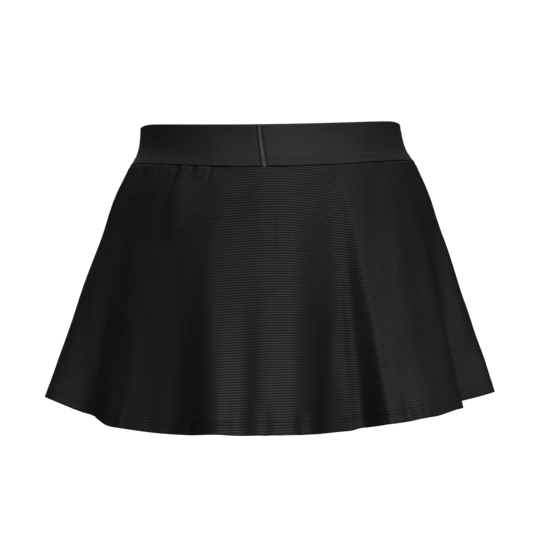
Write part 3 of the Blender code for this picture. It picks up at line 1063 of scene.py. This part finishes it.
def threadFinish(name, dark, light, withHoleShade=True):
    # spun polyester thread: twisted, with a slight shine, and painted shade at each end where it dips
    # into a needle hole
    material, tree, principled = newFinish(name, {"Roughness": 0.5, "Specular IOR Level": 0.5})
    place = addNode(tree, "TexCoord").outputs["Object"]
    noise = addNode(tree, "TexNoise", {"Scale": 1 / (1.2 * mm), "Detail": 2.0}, {"Vector": place})
    base = addNode(
        tree,
        "Mix",
        {"data_type": "RGBA", 6: linearColour(dark), 7: linearColour(light)},
        {0: noise.outputs["Fac"]},
    )
    if withHoleShade:
        along = addNode(tree, "UVMap", {"uv_map": "along"}).outputs["UV"]
        end = addNode(tree, "SeparateXYZ", None, {"Vector": along}).outputs["X"]
        # painted shade of the needle hole at each end of a stitch
        holeShadeRamp = addNode(tree, "MapRange", {"From Min": 0.85, "From Max": 1.05}, {"Value": end})
        base = addNode(
            tree,
            "Mix",
            {"data_type": "RGBA", 7: linearColour("#050505")},
            {0: holeShadeRamp.outputs["Result"], 6: base.outputs[2]},
        )
    bump = addNode(
        tree, "Bump", {"Strength": 0.3, "Distance": 0.1 * mm}, {"Height": noise.outputs["Fac"]}
    )
    linkInto(tree, principled, {"Base Color": base.outputs[2], "Normal": bump.outputs["Normal"]})
    return material


ribKnit = ribKnitFinish()
elastic = elasticFinish()
jersey = jerseyFinish()
stripThread = threadFinish("charcoal overlock thread", "#342e30", "#484143", withHoleShade=False)
charcoalThread = threadFinish("charcoal sewing thread", "#4a4346", "#686062")
blackThread = threadFinish("black sewing thread", "#1c1b1c", "#2a292a")

finishes = (
    (skirtBack, ribKnit, "rib_knit"),
    (skirtFront, ribKnit, "rib_knit"),
    (waistbandPiece, elastic, "elastic"),
    (stripPiece, stripThread, "elastic"),
    (rightShorts, jersey, "jersey"),
    (leftShorts, jersey, "jersey"),
    (bandStitches, charcoalThread, "elastic"),
    (hemStitches, blackThread, "rib_knit"),
    (sideStitches, blackThread, "rib_knit"),
    (shortsStitches, blackThread, "jersey"),
    (riseStitches, blackThread, "jersey"),
)
for piece, material, slotName in finishes:
    piece.data.materials.append(material)
    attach(piece, "root")
print("finishes made")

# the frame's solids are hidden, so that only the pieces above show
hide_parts("skirt_back")
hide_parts("skirt_front")
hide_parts("waistband")
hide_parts("waistband_seam")
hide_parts("shorts_right")
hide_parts("shorts_left")


# studio: a pale floor far below, a white surround, and soft light from the camera's side and from
# the far side
studio = {
    "floorHeight": -2.6,
    "floorSize": 300.0,
    "cameraPlace": (-0.001, -2.0, -0.0582),
    "lookDown": 2.43,
    "roll": 0.8,
    "lens": 133.33,
}


def makeFloor():
    bpy.ops.object.select_all(action="DESELECT")
    bpy.ops.mesh.primitive_plane_add(size=studio["floorSize"], location=(0, 0, studio["floorHeight"]))
    floor = bpy.context.object
    floor.name = "paleFloor"
    material, _, _ = newFinish(
        "pale studio floor",
        {
            "Base Color": linearColour("#f4f4f3"),
            "Roughness": 0.9,
            "Specular IOR Level": 0.1,
            "Emission Color": linearColour("#ffffff"),
            "Emission Strength": 0.45,
        },
    )
    floor.data.materials.append(material)
    floor.visible_diffuse = False  # white to the eye, and throws no light up under the skirt
    floor.visible_glossy = False


def addSun(name, strength, spread, azimuth, elevation, colour):
    # azimuth 0 shines from the centre back, 90 from +X
    sun = bpy.data.lights.new(name, "SUN")
    sun.energy = strength
    sun.color = colour
    sun.angle = math.radians(spread)
    lamp = bpy.data.objects.new(name, sun)
    lamp.rotation_euler = (math.radians(90 - elevation), 0, math.radians(azimuth))
    bpy.context.scene.collection.objects.link(lamp)


makeFloor()
addSun("keyLight", 1.78, 46, 13, 32, (0.99, 0.985, 1.045))
addSun("farKeyLight", 1.4, 60, 188, 54, (1.04, 1.0, 0.94))
addSun("sideLight", 0.25, 60, 58, 35, (1.0, 0.99, 1.03))

world = bpy.data.worlds.new("white surround")
bpy.context.scene.world = world
world.use_nodes = True
tree = world.node_tree
background = tree.nodes["Background"]
background.inputs["Color"].default_value = (1, 1, 1, 1)
rays = addNode(tree, "LightPath")
shine = addNode(
    tree, "MapRange", {"To Min": 0.03, "To Max": 1.05}, {"Value": rays.outputs["Is Camera Ray"]}
)
linkInto(tree, background, {"Strength": shine.outputs["Result"]})

cameraData = bpy.data.cameras.new("camera")
cameraData.lens = studio["lens"]
cameraData.clip_end = 500
camera = bpy.data.objects.new("camera", cameraData)
camera.location = studio["cameraPlace"]
camera.rotation_euler = (math.radians(90 - studio["lookDown"]), math.radians(studio["roll"]), 0)
bpy.context.scene.collection.objects.link(camera)
bpy.context.scene.camera = camera
bpy.context.scene.view_settings.view_transform = "Standard"
print("studio ready")
